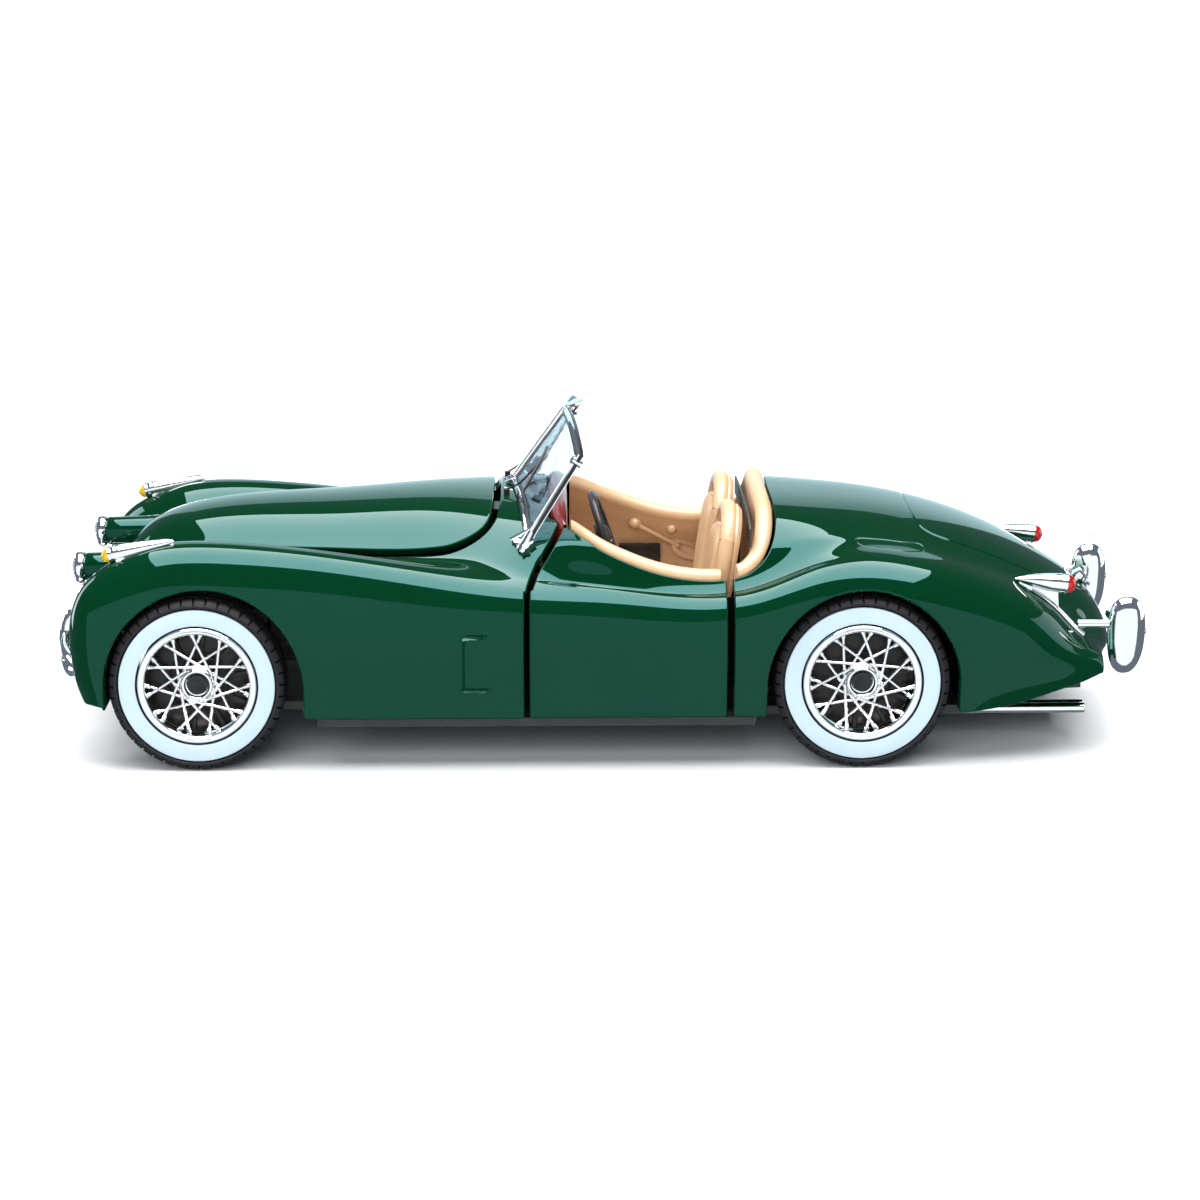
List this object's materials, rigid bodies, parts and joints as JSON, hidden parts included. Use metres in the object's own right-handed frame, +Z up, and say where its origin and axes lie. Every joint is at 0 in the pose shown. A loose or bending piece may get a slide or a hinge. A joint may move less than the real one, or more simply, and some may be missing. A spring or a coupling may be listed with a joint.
{
  "type": "diecast model car",
  "caption": "Diecast collector model of a mid-century open two-seat sports car with opening hood and doors, steering front wheels, wire wheels and chrome trim.",
  "frame": {"origin": "middle of the overall length and width, on the surface under the tyres", "axes": "+X from the nose to the tail, +Y to the car's right, +Z up"},
  "size_m": [0.181, 0.0658, 0.0546],
  "materials": {
    "green_paint": "gloss",
    "chrome": "polished",
    "beige_plastic": "satin",
    "red_brown_plastic": "gloss",
    "black_plastic": "satin",
    "tyre_rubber": "matte",
    "whitewall": "satin",
    "clear_plastic": "polished",
    "clear_lens": "polished",
    "amber_lens": "polished",
    "red_lens": "polished",
    "steel": "machined",
    "engine_grey": "satin",
    "polished_alloy": "polished"
  },
  "bodies": {
    "body": {"body_shell": "green_paint", "hood_hinge": "steel", "door_hinge_left": "steel", "door_hinge_right": "steel", "interior_tub": "beige_plastic", "dashboard": "red_brown_plastic", "seat_left": "beige_plastic", "seat_right": "beige_plastic", "glass_left": "clear_plastic", "glass_right": "clear_plastic", "headlight_bezel_left": "chrome", "headlight_bezel_right": "chrome", "headlight_lens_left": "clear_lens", "headlight_lens_right": "clear_lens", "parking_lamp_left": "chrome", "parking_lamp_right": "chrome", "parking_lens_left": "amber_lens", "parking_lens_right": "amber_lens", "tail_lamp_left": "chrome", "tail_lamp_right": "chrome", "tail_lens_left": "red_lens", "tail_lens_right": "red_lens", "rear_overrider_left": "chrome", "rear_overrider_right": "chrome", "steering_column": "black_plastic", "gear_lever": "chrome", "windscreen_frame": "chrome", "wipers": "black_plastic", "mirror": "chrome", "grille": "chrome", "front_bumper": "chrome", "boot_handle": "chrome", "exhaust_pipes": "chrome", "chassis_plate": "black_plastic", "screw_front": "steel", "screw_rear": "steel", "engine_block": "engine_grey", "cam_covers": "polished_alloy"},
    "hood": {"hood": "green_paint"},
    "door_left": {"door_left": "green_paint", "door_trim_left": "beige_plastic"},
    "door_right": {"door_right": "green_paint", "door_trim_right": "beige_plastic"},
    "knuckle_left": {"knuckle_left": "steel"},
    "knuckle_right": {"knuckle_right": "steel"},
    "tie_rod": {"tie_rod": "steel"},
    "front_wheel_left": {"tyre_front_left": "tyre_rubber", "whitewall_front_left": "whitewall", "wire_wheel_front_left": "chrome"},
    "front_wheel_right": {"tyre_front_right": "tyre_rubber", "whitewall_front_right": "whitewall", "wire_wheel_front_right": "chrome"},
    "rear_wheels": {"rear_axle": "steel", "tyre_rear_left": "tyre_rubber", "whitewall_rear_left": "whitewall", "wire_wheel_rear_left": "chrome", "tyre_rear_right": "tyre_rubber", "whitewall_rear_right": "whitewall", "wire_wheel_rear_right": "chrome"},
    "steering_wheel": {"steering_wheel": "black_plastic"}
  },
  "joints": [
    {"name": "hood_hinge", "type": "hinge", "parent": "body", "child": "hood", "pos_m": [-0.01935, 0, 0.0389], "axis": [0, 1, 0], "range_deg": [0, 48]},
    {"name": "door_left_hinge", "type": "hinge", "parent": "body", "child": "door_left", "pos_m": [-0.0074, -0.03005, 0.0185], "axis": [0, 0, -1], "range_deg": [0, 60]},
    {"name": "door_right_hinge", "type": "hinge", "parent": "body", "child": "door_right", "pos_m": [-0.0074, 0.03005, 0.0185], "axis": [0, 0, 1], "range_deg": [0, 60]},
    {"name": "steer_left", "type": "hinge", "parent": "body", "child": "knuckle_left", "pos_m": [-0.0655, -0.0215, 0.0144], "axis": [0, 0, 1], "range_deg": [-10, 10]},
    {"name": "steer_right", "type": "hinge", "parent": "body", "child": "knuckle_right", "pos_m": [-0.0655, 0.0215, 0.0144], "axis": [0, 0, 1], "range_deg": [-10, 10]},
    {"name": "tie_rod_slide", "type": "slide", "parent": "body", "child": "tie_rod", "axis": [0, 1, 0], "range_m": [-0.0012, 0.0012]},
    {"name": "front_left_spin", "type": "hinge", "parent": "knuckle_left", "child": "front_wheel_left", "pos_m": [-0.0655, -0.0273, 0.0144], "axis": [0, 1, 0], "continuous": true},
    {"name": "front_right_spin", "type": "hinge", "parent": "knuckle_right", "child": "front_wheel_right", "pos_m": [-0.0655, 0.0273, 0.0144], "axis": [0, 1, 0], "continuous": true},
    {"name": "rear_axle_spin", "type": "hinge", "parent": "body", "child": "rear_wheels", "pos_m": [0.0425, 0, 0.0144], "axis": [0, 1, 0], "continuous": true},
    {"name": "steering_wheel_turn", "type": "hinge", "parent": "body", "child": "steering_wheel", "pos_m": [0.0011, -0.0109, 0.035], "axis": [0.9432, 0, 0.3322], "range_deg": [-180, 180]}
  ],
  "couplings": [
    {"joint": "steer_right", "follows": "steer_left", "ratio": 1},
    {"joint": "tie_rod_slide", "follows": "steer_left", "m_per_rad": 0.0065}
  ]
}
